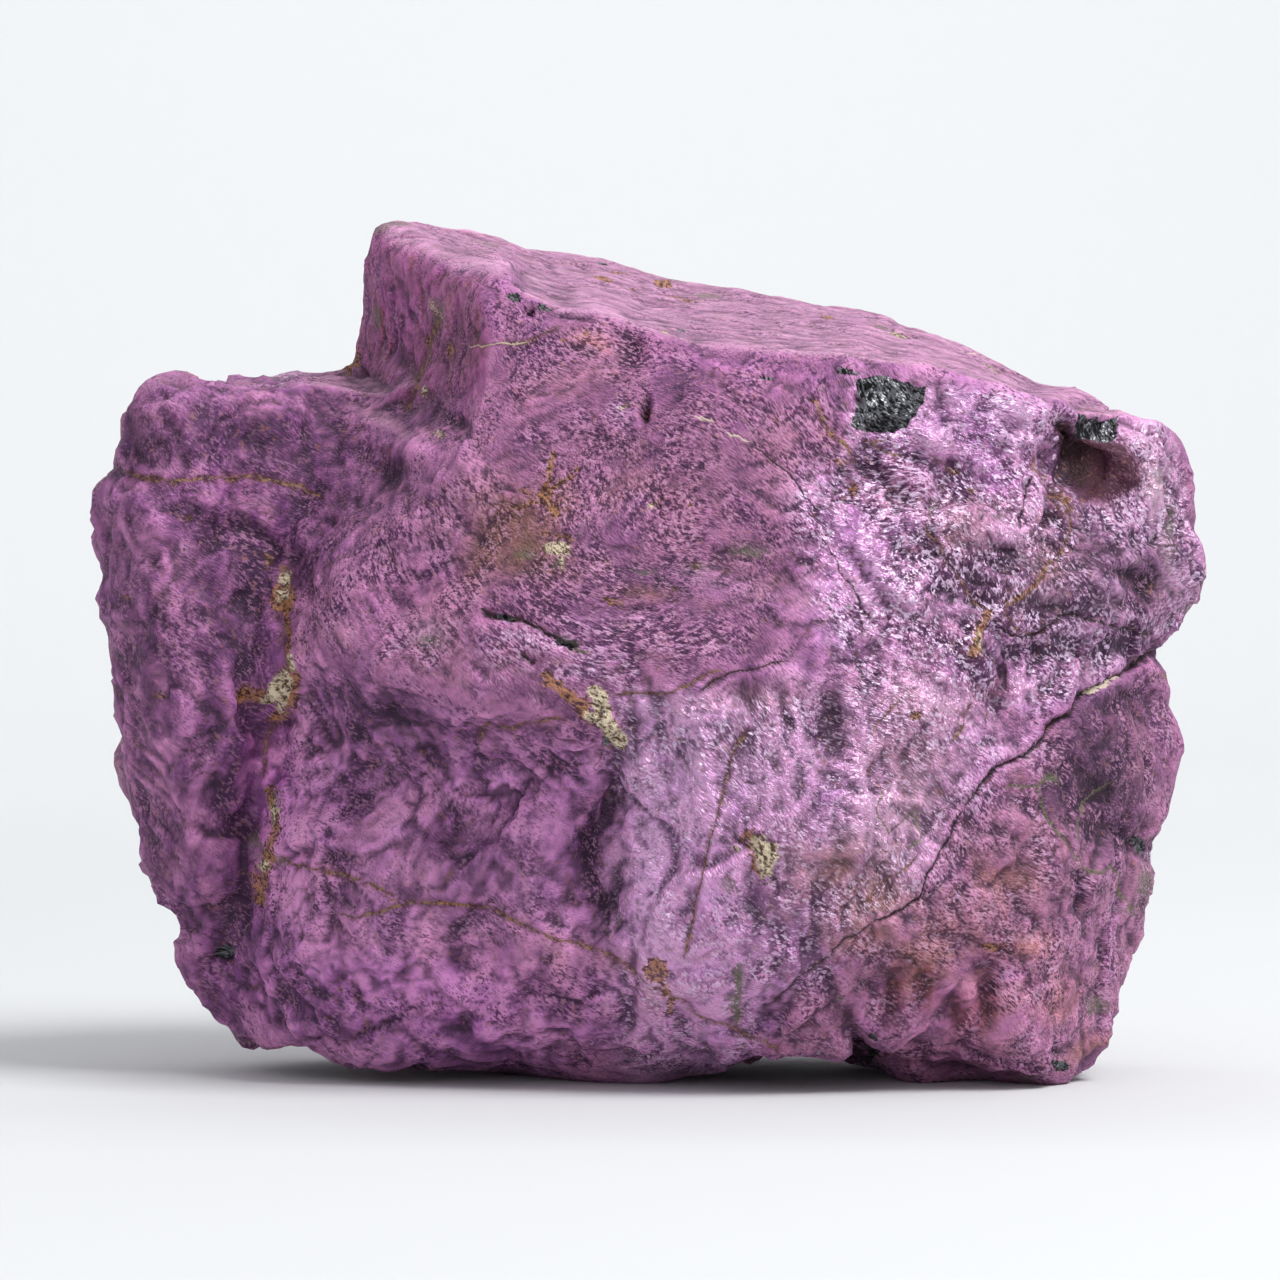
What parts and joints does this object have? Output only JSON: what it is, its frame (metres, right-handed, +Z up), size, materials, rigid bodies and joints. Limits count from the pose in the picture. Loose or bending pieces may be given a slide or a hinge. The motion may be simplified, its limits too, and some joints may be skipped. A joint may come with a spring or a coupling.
{
  "type": "purpurite rough stone",
  "caption": "Rough lump of massive purple purpurite with a sloping top face, a bulging front, a lobe at the left and flat spots to stand on.",
  "frame": {"origin": "centre of the stone's bounding box in X and Y, at the level of its flat standing spots", "axes": "+X to the viewer's right along the longest side, +Y away from the viewer, +Z up"},
  "size_m": [0.0674, 0.0418, 0.0529],
  "materials": {
    "purpurite_stone": "natural broken purpurite: dusty purple with satin cleavage glints, brown and cream veins and crusts, black oxide patches"
  },
  "bodies": {
    "root": {"purpurite": "purpurite_stone"}
  },
  "joints": []
}
